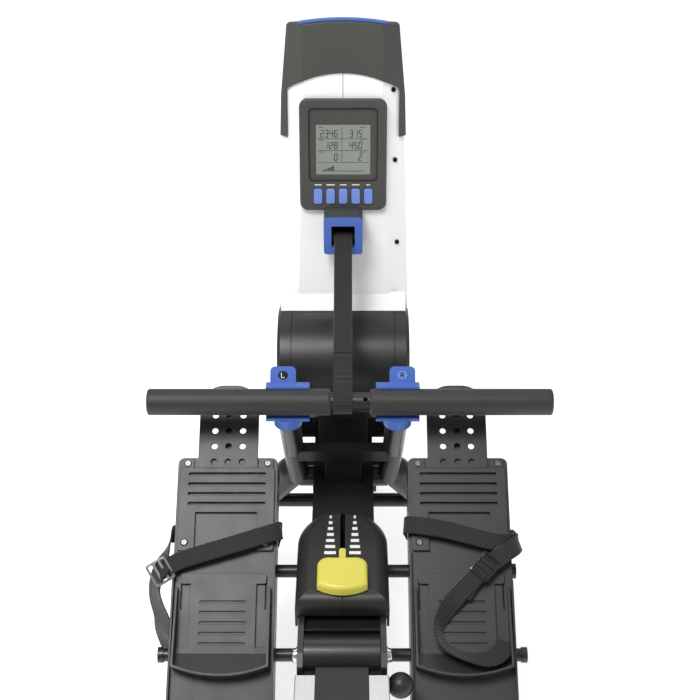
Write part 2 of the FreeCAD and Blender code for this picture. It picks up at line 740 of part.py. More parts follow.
def pedal_cover(side):
    """Toe plate: slotted cover, window, two legs and a perforated strip."""
    plate = rounded_slab(-59, 59, -119, -14, -0.8, 3.4, 3)
    lower = box(-38, 38, -130, -71, -2, 5)
    plate = plate.cut(lower)
    strip = rounded_slab(-37.5, 37.5, 0, 96, -0.8, 2.8, 30)
    strip = strip.fuse(box(-37.5, 37.5, -15, 50, -0.8, 2.8))
    rib = box(-6, 6, 2, 78, -12, 0)
    ears = [box(x, x + 15, -15, -2, -0.8, 1.8) for x in (-57, 42)]
    cover = fuse([plate, strip, rib] + ears)
    slots = [rounded_slab(-48, 48, y - 1.9, y + 1.9, -3, 6, 1.5)
             for y in (-22, -35, -47.5, -60)]
    holes = []
    for row in range(4):
        y = -6 + 20.5 * row
        holes += [Part.makeCylinder(4, 12, V(x, y, -3)) for x in (-17.6, 17.6)]
        holes.append(Part.makeCylinder(4, 12, V(0, y, -6)))
    screws = [Part.makeCylinder(2.6, 12, V(x, y, -4))
              for x in (-50, 50) for y in (-8, -109)]
    return on_pedal(cut(cover, slots + holes + screws), side)


def pedal_screws():
    """Cross-head screws that hold both covers."""
    found = []
    for x in (-50.0, 50.0):
        for y, top in ((-8.0, 1.9), (-109.0, 3.5)):
            head = Part.makeCone(4.6, 3.2, 1.6, V(x, y, top))
            cross = [box(x - 2, x + 2, y - 0.5, y + 0.5, top + 0.8, top + 2),
                     box(x - 0.5, x + 0.5, y - 2, y + 2, top + 0.8, top + 2)]
            shank = Part.makeCylinder(2.5, top + 0.6, V(x, y, -0.6))
            found.append(on_pedal(cut(head.fuse(shank), cross), 1))
    return found + [mirrored(screw) for screw in found]


def screws():
    """All the small screws, each its own solid."""
    return Part.makeCompound(shell_screws() + pedal_screws())


def heel_slider(side):
    """Sliding heel piece: grooved plate with a raised cup round the heel."""
    plate = box(-40, 40, -246, -148, -0.6, 3)
    ears = rounded_slab(-52, 52, -160, -147, -0.6, 3, 3)
    grooves = [rounded_slab(-28, 28, y - 1.6, y + 1.6, 1.2, 5, 1.4)
               for y in (-182, -194.5, -207, -219.5, -232)]
    block = box(-57.5, 57.5, -262, -165, -0.6, 26)
    heel = Part.makeCylinder(150, 26.6, V(0, -122, -0.6))
    cup = block.fuse(box(-57.5, 57.5, -273, -262, -0.6, 26)).common(heel)
    inner = box(-54.5, 54.5, -262, -160, -2, 30).fuse(box(-54.5, 54.5, -273, -262, -2, 30))
    inner = inner.common(Part.makeCylinder(147, 40, V(0, -122, -2)))
    wall = cut(cup, [inner])
    slope = prism_x([(-165, 7), (-262, 22), (-290, 22), (-290, 40), (-165, 40)], -80, 80)
    ramp = prism_x([(-243, 3), (-273, 16), (-273, -0.6), (-243, -0.6)], -54.6, 54.6)
    ramp = ramp.common(Part.makeCylinder(147.5, 40, V(0, -122, -2)))
    base = box(-57.4, 57.4, -250, -238, -0.6, 2.9)
    sides = [box(x, x + 17, -250, -236, -0.6, 2.9) for x in (-56, 39)]
    body = fuse([plate, ears, base, ramp, wall.cut(slope)] + sides)
    return on_pedal(cut(body, grooves), side)


def strap_arch(edge, top):
    """Half of a strap's outline: up one side, over the foot and down the other."""
    corners = [V(-edge, -12, -18), V(-edge, -12, 2), V(0, -12, top),
               V(edge, -12, 2), V(edge, -12, -18)]
    return [Part.makeLine(corners[0], corners[1]),
            Part.Arc(corners[1], corners[2], corners[3]).toShape(),
            Part.makeLine(corners[3], corners[4])]


def pedal_strap():
    """Flat webbing over the foot, lower on its outer side than on its inner side."""
    low = -18
    ends = [Part.makeLine(V(x * 65.4, -12, low), V(x * 63.2, -12, low)) for x in (-1, 1)]
    edges = strap_arch(65.4, 26) + strap_arch(63.2, 23.8) + ends
    loop = Part.Wire(Part.__sortEdges__(edges))
    band = Part.Face(loop).extrude(V(0, 24, 0))
    skew = FreeCAD.Matrix()
    skew.A21 = -0.3
    band = band.transformGeometry(skew)
    band.translate(V(0, -122, 0))
    return on_pedal(band, 1)


def pedal_straps():
    """Both pedal straps."""
    return both_sides(pedal_strap())


def strap_buckles():
    """Ladder buckles at the outer ends of the pedal straps."""
    frame = rounded_slab(-15, 15, -17, 17, 0, 3.4, 3)
    gaps = [rounded_slab(-12.4, 12.4, y - 3.2, y + 3.2, -1, 5, 1.5) for y in (-9.5, 0, 9.5)]
    buckle = cut(frame, gaps)
    buckle.rotate(V(0, 0, 0), V(0, 1, 0), 90)
    buckle.translate(V(65.8, -158, -8))
    return both_sides(on_pedal(buckle, 1))


# ---------------------------------------------------------------- rail and seat

def rail_extrusion():
    """Aluminium rail with two running flanges and a channel between them."""
    outer = box(-RAIL_HALF, RAIL_HALF, RAIL_REAR, RAIL_FRONT, RAIL_LOW, RAIL_TOP)
    outer = round_edges(outer, 1.5, lambda b: b.YLength > 1000)
    room = box(-50, 50, RAIL_REAR - 1, RAIL_FRONT + 1, RAIL_LOW + 3, 271)
    corners = [box(x, x + 17, RAIL_REAR - 1, RAIL_FRONT + 1, 270, 277) for x in (33, -50)]
    channel = box(-30.2, 30.2, RAIL_REAR - 1, RAIL_FRONT + 1, 274, 282)
    grooves = [box(x, x + 2, RAIL_REAR - 1, RAIL_FRONT + 1, 252, 262) for x in (52, -54)]
    return cut(outer, [room, channel] + corners + grooves)


def rail_insert():
    """Black filler that closes the rail's channel up to the hinge."""
    insert = box(-30, 30, RAIL_REAR + 2, 264, 274.1, 281.2)
    knuckle = bar_x(-50, 50, HINGE_Y, HINGE_Z, KNUCKLE_R + 0.3)
    return insert.cut(knuckle)


def rail_knuckle():
    """Rounded hinge end of the rail, with its plug and the groove for the lock pin."""
    barrel = bar_x(-KNUCKLE_HALF, KNUCKLE_HALF, HINGE_Y, HINGE_Z, KNUCKLE_R)
    neck = box(-KNUCKLE_HALF, KNUCKLE_HALF, RAIL_FRONT + 0.1, HINGE_Y, 243, 274)
    plug = box(-40, 40, 190, RAIL_FRONT + 0.2, 243, 270.8)
    body = fuse([barrel, neck, plug])
    track = ring_x(37, 45, HINGE_Y, HINGE_Z, 37.6, 28.8)
    track = track.common(box(30, 50, 250, 300, 230, 262))
    return cut(body, [bar_x(-60, 60, HINGE_Y, HINGE_Z, BOLT_R + RUN), track])


def rail_end_cap():
    """Plastic plug on the rail's back end."""
    cap = rounded_slab(-RAIL_HALF, RAIL_HALF, REAR_Y, RAIL_REAR - 0.1, RAIL_LOW, 281, 10)
    return cap


def rear_leg():
    """Rear post and cross tube under the rail's back end."""
    plate = box(-40, 40, -932, -893, 231, RAIL_LOW - 0.1)
    post = box(-22, 22, -930, -895, 40, 232).cut(box(-19.5, 19.5, -927.5, -897.5, 43, 231))
    cross = rounded_slab(-259, 259, -930, -895, 12, 44, 3)
    cross = cross.cut(box(-256.5, 256.5, -927.5, -897.5, 14.5, 41.5))
    return fuse([plate, post, cross])


def rear_feet():
    """Rubber pads under the rear cross tube."""
    pad = rounded_slab(212, 256, -933, -892, 0, 11.9, 8)
    return both_sides(pad)


def seat_carriage():
    """Steel carriage that straddles the rail."""
    plate = rounded_slab(-66, 66, -120, 120, 320, 324, 6)
    cheeks = [box(x, x + 4, -115, 115, 262, 321) for x in (62, -66)]
    ends = [box(x, x + 4, y, y + 26, 229, 263) for x in (62, -66) for y in (-113, 87)]
    pads = [box(x, x + 22, y, y + 26, 229, 234.8) for x in (41, -63) for y in (-113, 87)]
    axles = [bar_x(-68, 68, y, 298.2, 5) for y in (-85, 85)]
    body = fuse([plate] + cheeks + ends + pads + axles)
    body.translate(V(0, SEAT_Y, 0))
    return body


def seat_rollers(offset):
    """Pair of rollers on one axle."""
    roller = ring_x(38, 50, SEAT_Y + offset, 298.2, 18, 5 + RUN)
    return both_sides(roller)


def seat_cushion():
    """Padded seat."""
    pad = rounded_slab(-165, 165, -122, 118, 324.2, 384, 60)
    pad = round_edges(pad, 18, lambda b: b.ZMin > 383.9)
    pad.translate(V(0, SEAT_Y, 0))
    return pad


def lock_knob():
    """Spring-loaded pull knob beside the hinge."""
    pin = bar_x(38, 53, LOCK_Y, LOCK_Z, LOCK_R)
    collar = bar_x(51.2, 56, LOCK_Y, LOCK_Z, 6)
    ball = Part.makeSphere(15, V(66.6, LOCK_Y, LOCK_Z))
    return fuse([pin, collar, ball])


def transport_wheels():
    """Two wheels on one axle under the front strut."""
    wheel = ring_x(28, 52, 920, 35, 32, 6 + RUN)
    return both_sides(cut(wheel, [ring_x(48, 53, 920, 35, 24, 12)]))


def pieces():
    """Every named piece of the machine."""
    found = {
        "main_beam": main_beam(), "hinge_fork": hinge_fork(), "hinge_bolt": hinge_bolt(),
        "front_legs": front_legs(), "rubber_feet": rubber_feet(),
        "middle_foot": middle_foot(), "foot_bars": foot_bars(), "end_caps": end_caps(),
        "handle_posts": handle_posts(), "handle_cradles": handle_cradles(),
        "tower_shell_left": tower_shell_half(-1), "tower_shell_right": tower_shell_half(1),
        "tower_hood": tower_hood(), "hood_trim": hood_trim(), "drum_cover": drum_cover(),
        "tower_post": tower_post(),
        "axle_shafts": axle_shafts(), "drive_belt": drive_belt(),
        "strap_outlet": strap_outlet(),
        "outlet_frame": outlet_frame(), "console_case": console_case(),
        "display_panel": display_panel(), "flywheel": flywheel(),
        "drive_pulley": drive_pulley(), "strap_reel": strap_reel(),
        "guide_roller": guide_roller(),
        "magnet_arm": magnet_arm(), "handle_tube": handle_tube(),
        "handle_grips": handle_grips(), "strap_loop": strap_loop(),
        "pull_strap": pull_strap(), "control_housing_left": control_housing_half(-1),
        "control_housing_right": control_housing_half(1),
        "tension_lever": tension_lever(), "screws": screws(),
        "rail_extrusion": rail_extrusion(), "rail_insert": rail_insert(),
        "rail_knuckle": rail_knuckle(), "rail_end_cap": rail_end_cap(),
        "rear_leg": rear_leg(), "rear_feet": rear_feet(),
        "seat_carriage": seat_carriage(), "seat_cushion": seat_cushion(),
        "front_rollers": seat_rollers(85), "rear_rollers": seat_rollers(-85),
        "lock_knob": lock_knob(), "transport_wheels": transport_wheels(),
        "pedal_straps": pedal_straps(), "strap_buckles": strap_buckles(),
    }
    for number, x in enumerate(BUTTON_X, 1):
        found["button_%d" % number] = button(x)
    return found


def paired_pieces():
    """Pieces made once for each pedal."""
    found = {}
    for word, side in (("left", -1), ("right", 1)):
        found["pedal_" + word] = pedal_base(side)
        found["toe_plate_" + word] = pedal_cover(side)
        found["heel_slider_" + word] = heel_slider(side)
    return found


def main():
    """Write every piece."""
    os.makedirs(OUT, exist_ok=True)
    found = pieces()
    found.update(paired_pieces())
    for name in sorted(found):
        save(name, found[name])


main()
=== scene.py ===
"""Looks of the folding rowing machine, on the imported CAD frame.  Metres."""
import math
import bpy
from mathutils import Matrix, Vector


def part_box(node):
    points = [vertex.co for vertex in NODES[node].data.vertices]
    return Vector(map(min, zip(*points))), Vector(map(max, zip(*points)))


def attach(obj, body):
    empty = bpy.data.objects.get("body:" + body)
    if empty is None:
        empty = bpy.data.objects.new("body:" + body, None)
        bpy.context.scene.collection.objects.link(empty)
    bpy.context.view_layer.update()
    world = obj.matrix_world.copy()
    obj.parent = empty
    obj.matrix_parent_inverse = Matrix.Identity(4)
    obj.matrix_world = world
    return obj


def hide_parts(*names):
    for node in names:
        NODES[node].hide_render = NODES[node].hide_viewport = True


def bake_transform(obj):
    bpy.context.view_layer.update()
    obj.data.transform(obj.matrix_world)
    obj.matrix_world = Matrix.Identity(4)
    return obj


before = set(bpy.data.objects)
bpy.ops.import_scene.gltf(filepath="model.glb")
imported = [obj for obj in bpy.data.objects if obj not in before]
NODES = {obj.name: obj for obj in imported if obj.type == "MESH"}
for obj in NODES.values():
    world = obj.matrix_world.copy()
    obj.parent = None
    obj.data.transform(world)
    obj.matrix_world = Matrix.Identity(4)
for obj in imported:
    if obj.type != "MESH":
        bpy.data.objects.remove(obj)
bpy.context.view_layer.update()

# Places that the CAD source also uses, in metres
FACE_POINT = Vector((0.0, 0.775, 0.590))
FACE_TURN = math.radians(78.0)
PEDAL_POINT = Vector((0.144, 0.521, 0.374))
PEDAL_TURN = math.radians(35.0)
STRAP_START = Vector((0.0, 0.5287, 0.4623))
STRAP_END = Vector((0.0, 0.7477, 0.5744))
TAB_POINT = Vector((0.074, 0.553, 0.462))
TAB_TURN = math.radians(55.0)

# Webbing of the pedal straps, in millimetres
STRAP_WIDE = 22
STRAP_THICK = 1.7

# Seat cushion: starting size against its CAD solid, mesh size, swelling
PAD_SHRINK = (0.965, 0.955, 0.84)
PAD_VOXEL = 0.006
SWELL_PRESSURE = 4.0
SWELL_FRAMES = 20
SWELL_CAP = 0.011

# Camera
CAMERA_POINT = (0.009, -0.7765, 1.3783)
CAMERA_TILT = 57.0
CAMERA_LENS = 66.857


# ---------------------------------------------------------------- materials

def srgb(red, green, blue):
    """Linear colour from 0-255 screen values."""
    def linear(value):
        value /= 255.0
        return value / 12.92 if value <= 0.04045 else ((value + 0.055) / 1.055) ** 2.4
    return (linear(red), linear(green), linear(blue), 1.0)


def shade(colour, factor):
    """A lighter or darker version of a colour."""
    return tuple(min(1.0, part * factor) for part in colour[:3]) + (1.0,)


class Recipe:
    """Small helper that wires one procedural material."""

    def __init__(self, name):
        self.material = bpy.data.materials.new(name)
        self.material.use_nodes = True
        self.tree = self.material.node_tree
        self.shader = self.tree.nodes["Principled BSDF"]
        self.coords = self.tree.nodes.new("ShaderNodeTexCoord")

    def node(self, kind, **settings):
        """New node with its plain settings."""
        made = self.tree.nodes.new(kind)
        for key, value in settings.items():
            setattr(made, key, value)
        return made

    def link(self, source, target):
        """Join two sockets."""
        self.tree.links.new(source, target)

    def stretched(self, scale, turn=(0, 0, 0)):
        """Object coordinates, scaled and turned."""
        mapping = self.node("ShaderNodeMapping")
        mapping.inputs["Scale"].default_value = scale
        mapping.inputs["Rotation"].default_value = turn
        self.link(self.coords.outputs["Object"], mapping.inputs["Vector"])
        return mapping.outputs["Vector"]

    def noise(self, scale, detail=4.0, vector=None):
        """Noise value."""
        made = self.node("ShaderNodeTexNoise")
        made.inputs["Scale"].default_value = scale
        made.inputs["Detail"].default_value = detail
        self.link(vector or self.coords.outputs["Object"], made.inputs["Vector"])
        return made.outputs["Fac"]

    def ramp(self, value, low, high, first, second):
        """Value mapped to a blend between two colours."""
        made = self.node("ShaderNodeValToRGB")
        made.color_ramp.elements[0].position = low
        made.color_ramp.elements[1].position = high
        made.color_ramp.elements[0].color = first
        made.color_ramp.elements[1].color = second
        self.link(value, made.inputs["Fac"])
        return made.outputs["Color"]

    def span(self, value, low, high):
        """Value 0-1 mapped to a range."""
        made = self.node("ShaderNodeMapRange")
        made.inputs["To Min"].default_value = low
        made.inputs["To Max"].default_value = high
        self.link(value, made.inputs["Value"])
        return made.outputs["Result"]

    def bump(self, height, depth, strength=1.0, below=None):
        """Bump from a height value, in metres."""
        made = self.node("ShaderNodeBump")
        made.inputs["Distance"].default_value = depth
        made.inputs["Strength"].default_value = strength
        self.link(height, made.inputs["Height"])
        if below is not None:
            self.link(below, made.inputs["Normal"])
        return made.outputs["Normal"]

    def soft_edges(self, radius):
        """Normals rounded over sharp edges."""
        made = self.node("ShaderNodeBevel", samples=4)
        made.inputs["Radius"].default_value = radius
        return made.outputs["Normal"]


def moulded(name, colour, rough, grain=0.00004, scale=1600.0, vary=0.10, coat=0.0,
            edge=0.0008, metal=0.0):
    """Moulded or painted surface: slight colour drift, fine grain, soft edges."""
    recipe = Recipe(name)
    drift = recipe.noise(9.0, 5.0)
    tone = recipe.ramp(drift, 0.3, 0.7, shade(colour, 1 - vary), shade(colour, 1 + vary))
    recipe.link(tone, recipe.shader.inputs["Base Color"])
    smear = recipe.noise(38.0, 6.0)
    recipe.link(recipe.span(smear, rough * 0.82, rough * 1.18),
                recipe.shader.inputs["Roughness"])
    normal = recipe.bump(recipe.noise(scale, 2.0), grain, 1.0, recipe.soft_edges(edge))
    recipe.link(normal, recipe.shader.inputs["Normal"])
    recipe.shader.inputs["Metallic"].default_value = metal
    recipe.shader.inputs["Coat Weight"].default_value = coat
    recipe.shader.inputs["Coat Roughness"].default_value = 0.08
    return recipe.material


def brushed(name, colour, rough, along, edge=0.0006):
    """Metal with fine lines along one direction."""
    recipe = Recipe(name)
    scale = [900.0, 900.0, 900.0]
    scale["XYZ".index(along)] = 9.0
    lines = recipe.noise(1.0, 3.0, recipe.stretched(tuple(scale)))
    tone = recipe.ramp(lines, 0.35, 0.65, shade(colour, 0.9), shade(colour, 1.06))
    recipe.link(tone, recipe.shader.inputs["Base Color"])
    recipe.link(recipe.span(lines, rough * 0.8, rough * 1.25),
                recipe.shader.inputs["Roughness"])
    normal = recipe.bump(lines, 0.00002, 1.0, recipe.soft_edges(edge))
    recipe.link(normal, recipe.shader.inputs["Normal"])
    recipe.shader.inputs["Metallic"].default_value = 0.85
    return recipe.material


def foam(name, colour, rough):
    """Closed-cell foam grip with tiny pores."""
    recipe = Recipe(name)
    cells = recipe.node("ShaderNodeTexVoronoi")
    cells.inputs["Scale"].default_value = 900.0
    recipe.link(recipe.coords.outputs["Object"], cells.inputs["Vector"])
    drift = recipe.noise(30.0, 5.0)
    tone = recipe.ramp(drift, 0.3, 0.7, shade(colour, 0.85), shade(colour, 1.15))
    recipe.link(tone, recipe.shader.inputs["Base Color"])
    fine = recipe.bump(cells.outputs["Distance"], 0.00012, 0.8, recipe.soft_edges(0.002))
    recipe.link(recipe.bump(recipe.noise(120.0, 3.0), 0.0003, 0.5, fine),
                recipe.shader.inputs["Normal"])
    recipe.link(recipe.span(drift, rough * 0.9, rough * 1.1),
                recipe.shader.inputs["Roughness"])
    recipe.shader.inputs["Sheen Weight"].default_value = 0.15
    return recipe.material


def webbing(name, colour, turn=(0.0, 0.0, 0.0), pitch=430.0):
    """Woven strap: slanted ribs with fine cross threads."""
    recipe = Recipe(name)
    ribs = recipe.node("ShaderNodeTexWave", wave_type="BANDS", bands_direction="X")
    ribs.inputs["Scale"].default_value = pitch / 6.283
    ribs.inputs["Distortion"].default_value = 0.4
    recipe.link(recipe.stretched((1, 1, 1), turn), ribs.inputs["Vector"])
    threads = recipe.noise(2400.0, 2.0)
    tone = recipe.ramp(ribs.outputs["Fac"], 0.15, 0.85, shade(colour, 0.55),
                       shade(colour, 1.5))
    recipe.link(tone, recipe.shader.inputs["Base Color"])
    low = recipe.bump(threads, 0.0001, 0.6)
    recipe.link(recipe.bump(ribs.outputs["Fac"], 0.00045, 0.9, low),
                recipe.shader.inputs["Normal"])
    recipe.shader.inputs["Roughness"].default_value = 0.72
    recipe.shader.inputs["Sheen Weight"].default_value = 0.25
    recipe.shader.inputs["Sheen Roughness"].default_value = 0.5
    return recipe.material


def vinyl(name, colour):
    """Grained vinyl with fine creases."""
    recipe = Recipe(name)
    grain = recipe.node("ShaderNodeTexVoronoi", feature="DISTANCE_TO_EDGE")
    grain.inputs["Scale"].default_value = 520.0
    recipe.link(recipe.coords.outputs["Object"], grain.inputs["Vector"])
    drift = recipe.noise(14.0, 6.0)
    tone = recipe.ramp(drift, 0.3, 0.7, shade(colour, 0.85), shade(colour, 1.2))
    recipe.link(tone, recipe.shader.inputs["Base Color"])
    creases = recipe.bump(recipe.noise(55.0, 6.0), 0.0006, 0.5)
    recipe.link(recipe.bump(grain.outputs["Distance"], 0.0003, 0.7, creases),
                recipe.shader.inputs["Normal"])
    recipe.link(recipe.span(drift, 0.38, 0.55), recipe.shader.inputs["Roughness"])
    return recipe.material


def screen_glass(name, colour):
    """Grey-green display under a glossy window."""
    recipe = Recipe(name)
    drift = recipe.noise(22.0, 3.0)
    tone = recipe.ramp(drift, 0.3, 0.7, shade(colour, 0.93), shade(colour, 1.07))
    recipe.link(tone, recipe.shader.inputs["Base Color"])
    recipe.link(recipe.span(drift, 0.30, 0.38), recipe.shader.inputs["Roughness"])
    recipe.shader.inputs["Coat Weight"].default_value = 0.4
    recipe.shader.inputs["Coat Roughness"].default_value = 0.06
    return recipe.material


def screw_heads(name, low_colour, high_colour, level):
    """Screw heads: bright on the pedals, blackened on the tower."""
    recipe = Recipe(name)
    parts = recipe.node("ShaderNodeSeparateXYZ")
    recipe.link(recipe.coords.outputs["Object"], parts.inputs["Vector"])
    above = recipe.node("ShaderNodeMath", operation="GREATER_THAN")
    above.inputs[1].default_value = level
    recipe.link(parts.outputs["Z"], above.inputs[0])
    tone = recipe.ramp(above.outputs["Value"], 0.4, 0.6, low_colour, high_colour)
    recipe.link(tone, recipe.shader.inputs["Base Color"])
    wear = recipe.noise(400.0, 4.0)
    recipe.link(recipe.span(wear, 0.22, 0.42), recipe.shader.inputs["Roughness"])
    normal = recipe.bump(wear, 0.00005, 1.0, recipe.soft_edges(0.0004))
    recipe.link(normal, recipe.shader.inputs["Normal"])
    recipe.shader.inputs["Metallic"].default_value = 0.8
    return recipe.material


LOOKS = {
    "paint": moulded("black_paint", srgb(26, 26, 27), 0.36, 0.00005, 900.0, 0.12, 0.15),
    "plastic": moulded("black_plastic", srgb(34, 34, 32), 0.42),
    "drum": moulded("drum_plastic", srgb(34, 34, 32), 0.36, 0.00005, 1300.0),
    "pedal": moulded("pedal_plastic", srgb(38, 38, 35), 0.40, 0.00010, 1100.0, 0.14,
                     edge=0.0012),
    "hood": moulded("grey_plastic", srgb(66, 67, 63), 0.46, 0.00006, 1500.0, edge=0.002),
    "shell": moulded("white_plastic", srgb(246, 247, 247), 0.24, 0.00002, 700.0, 0.02,
                     0.5, 0.002),
    "blue": moulded("blue_plastic", srgb(70, 104, 184), 0.34, 0.00003, 1200.0, 0.06, 0.2),
    "keys": moulded("blue_keys", srgb(110, 138, 214), 0.36, 0.00003, 1200.0, 0.05, 0.2),
    "yellow": moulded("yellow_plastic", srgb(216, 206, 84), 0.4, 0.00004, 1200.0, 0.05,
                      0.1, 0.0015),
    "rubber": moulded("black_rubber", srgb(30, 30, 30), 0.7, 0.0001, 800.0),
    "steel": brushed("steel", srgb(150, 150, 152), 0.35, "X"),
    "chrome": moulded("bright_steel", srgb(215, 215, 218), 0.14, 0.00001, 500.0, 0.03,
                      metal=1.0),
    "screws": screw_heads("screw_heads", srgb(112, 112, 110), srgb(26, 26, 26), 0.48),
    "rail": brushed("rail_aluminium", srgb(214, 216, 218), 0.36, "Y"),
    "foam": foam("foam_grip", srgb(40, 40, 38), 0.55),
    "webbing": webbing("webbing", srgb(20, 20, 18), (0.0, 0.0, 0.9), 620.0),
    "pull_webbing": webbing("pull_webbing", srgb(17, 17, 16), (0.0, 0.0, 1.5708), 1050.0),
    "vinyl": vinyl("vinyl", srgb(34, 34, 34)),
    "screen": screen_glass("screen", srgb(130, 138, 128)),
    "ink": moulded("screen_ink", srgb(48, 56, 50), 0.5, 0.00001, 600.0, 0.04),
    "white_ink": moulded("white_ink", srgb(236, 238, 236), 0.5, 0.00001, 600.0, 0.02),
    "thread": webbing("thread", srgb(84, 84, 78), (0.0, 0.0, 0.0), 1500.0),
    "grey_buckle": moulded("grey_buckle", srgb(120, 120, 116), 0.3, 0.00003, 900.0, 0.08),
    "black_buckle": moulded("black_buckle", srgb(26, 26, 25), 0.25, 0.00003, 900.0, 0.08),
}

NODE_LOOKS = {
    "paint": ["main_beam", "hinge_fork", "handle_tube", "front_legs", "middle_foot",
              "foot_bars", "handle_posts", "tower_post", "rail_knuckle", "rear_leg",
              "seat_carriage"],
    "plastic": ["end_caps", "control_housing_left", "control_housing_right", "rail_insert",
                "rail_end_cap", "strap_reel", "guide_roller", "drive_pulley", "lock_knob"],
    "drum": ["drum_cover"],
    "pedal": ["pedal_left", "pedal_right", "toe_plate_left", "toe_plate_right",
              "heel_slider_left", "heel_slider_right"],
    "hood": ["tower_hood", "strap_outlet", "console_case"],
    "shell": ["tower_shell_left", "tower_shell_right"],
    "blue": ["hood_trim", "handle_cradles", "outlet_frame"],
    "keys": ["button_%d" % number for number in range(1, 6)],
    "yellow": ["tension_lever"],
    "rubber": ["rubber_feet", "rear_feet", "front_rollers", "rear_rollers", "drive_belt",
               "transport_wheels"],
    "steel": ["axle_shafts", "flywheel", "magnet_arm"],
    "chrome": ["hinge_bolt"],
    "screws": ["screws"],
    "rail": ["rail_extrusion"],
    "foam": ["handle_grips"],
    "webbing": ["pedal_straps"],
    "pull_webbing": ["strap_loop", "pull_strap"],
    "vinyl": ["seat_cushion"],
    "screen": ["display_panel"],
    "grey_buckle": ["strap_buckles"],
}


def dress(piece, look):
    """Give a piece one material."""
    piece.data.materials.clear()
    piece.data.materials.append(LOOKS[look])


def dress_nodes():
    """Give every CAD node its material."""
    for look, names in NODE_LOOKS.items():
        for name in names:
            for slot in NODES[name].material_slots:
                slot.material = LOOKS[look]


# ---------------------------------------------------------------- mesh helpers

def add_mesh(name, points, faces, look, body, smooth=False):
    """New mesh piece that rides on a body."""
    mesh = bpy.data.meshes.new(name)
    mesh.from_pydata([tuple(point) for point in points], [], faces)
    mesh.validate()
    mesh.update()
    if smooth:
        for face in mesh.polygons:
            face.use_smooth = True
    piece = bpy.data.objects.new(name, mesh)
    bpy.context.scene.collection.objects.link(piece)
    dress(piece, look)
    if body:
        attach(piece, body)
    return piece


def face_matrix():
    """From flat drawing millimetres on the tower's face to the frame."""
    return (Matrix.Translation(FACE_POINT) @ Matrix.Rotation(FACE_TURN, 4, "X")
            @ Matrix.Scale(0.001, 4))


def pedal_matrix(side):
    """From flat drawing millimetres on a pedal to the frame."""
    place = Vector((PEDAL_POINT.x * side, PEDAL_POINT.y, PEDAL_POINT.z))
    return (Matrix.Translation(place) @ Matrix.Rotation(PEDAL_TURN, 4, "X")
            @ Matrix.Scale(0.001, 4))


def prism_mesh(outlines, low, high, matrix):
    """Points and faces of flat shapes with some thickness."""
    points = []
    faces = []
    for outline in outlines:
        start = len(points)
        count = len(outline)
        points += [matrix @ Vector((x, y, low)) for x, y in outline]
        points += [matrix @ Vector((x, y, high)) for x, y in outline]
        faces.append(tuple(start + i for i in reversed(range(count))))
        faces.append(tuple(start + count + i for i in range(count)))
        for i in range(count):
            j = (i + 1) % count
            faces.append((start + i, start + j, start + count + j, start + count + i))
    return points, faces


def bar_outline(x0, y0, x1, y1, width):
    """Four corners of a thin bar between two points."""
    run = Vector((x1 - x0, y1 - y0))
    across = Vector((-run.y, run.x)).normalized() * (width / 2)
    return [(x0 + across.x, y0 + across.y), (x0 - across.x, y0 - across.y),
            (x1 - across.x, y1 - across.y), (x1 + across.x, y1 + across.y)]


def rounded_outline(x0, x1, y0, y1, radius, steps=6):
    """Corners of a rounded rectangle, anticlockwise."""
    outline = []
    for cx, cy, start in ((x1 - radius, y1 - radius, 0), (x0 + radius, y1 - radius, 90),
                          (x0 + radius, y0 + radius, 180), (x1 - radius, y0 + radius, 270)):
        for step in range(steps + 1):
            angle = math.radians(start + 90.0 * step / steps)
            outline.append((cx + radius * math.cos(angle), cy + radius * math.sin(angle)))
    return outline


# ---------------------------------------------------------------- console print

SEGMENTS = {
    "a": ((0, 2), (1, 2)), "b": ((1, 2), (1, 1)), "c": ((1, 1), (1, 0)),
    "d": ((0, 0), (1, 0)), "e": ((0, 1), (0, 0)), "f": ((0, 2), (0, 1)),
    "g": ((0, 1), (1, 1)),
}
SHAPES = {
    "0": "abcdef", "1": "bc", "2": "abged", "3": "abgcd", "4": "fgbc", "5": "afgcd",
    "6": "afgcde", "8": "abcdefg",
}


def digit_bars(text, right, low, width=3.6, height=4.3, gap=6.0):
    """Bars of seven-segment digits, ending at a right-hand edge."""
    bars = []
    for place, letter in enumerate(reversed(text)):
        left = right - width - place * gap
        for name in SHAPES[letter]:
            (x0, y0), (x1, y1) = SEGMENTS[name]
            lean = 0.06 * height
            bars.append(bar_outline(left + x0 * width + y0 * lean, low + y0 * height,
                                    left + x1 * width + y1 * lean, low + y1 * height, 0.9))
    return bars


def console_print():
    """Digits, rules and a small slope graph on the display, and dashes over the keys."""
    bars = []
    rows = (("2346", "315", 101.5), ("128", "450", 86.0), ("0", "2", 70.8))
    for first, second, low in rows:
        bars += digit_bars(first, -8.0, low)
        bars += digit_bars(second, 24.0, low)
    for height in (99.2, 83.6, 68.2):
        bars.append(bar_outline(-33, height, 33, height, 0.45))
    bars.append(bar_outline(-1.5, 68.2, -1.5, 116, 0.45))
    bars.append(bar_outline(-28, 56.5, 27, 56.5, 0.7))
    bars += [bar_outline(x, 57.4, x, 57.4 + rise, 2.2)
             for x, rise in ((-25, 0.8), (-22, 1.9), (-19, 3.1), (-16, 4.2), (-13, 6.0))]
    for height in (114.2, 97.6, 81.8):
        bars.append(bar_outline(-32, height, -26, height, 0.7))
        bars.append(bar_outline(22, height, 28, height, 0.7))
    points, faces = prism_mesh(bars, 5.22, 5.42, face_matrix())
    add_mesh("display_print", points, faces, "ink", "frame")
    dashes = [bar_outline(x - half, 38.6, x + half, 38.6, 1.3)
              for x, half in ((-33, 4.6), (-16.5, 5.6), (0, 4.4), (16.5, 5.0), (33, 2.6))]
    points, faces = prism_mesh(dashes, 7.5, 7.62, face_matrix())
    add_mesh("key_dashes", points, faces, "white_ink", "frame")


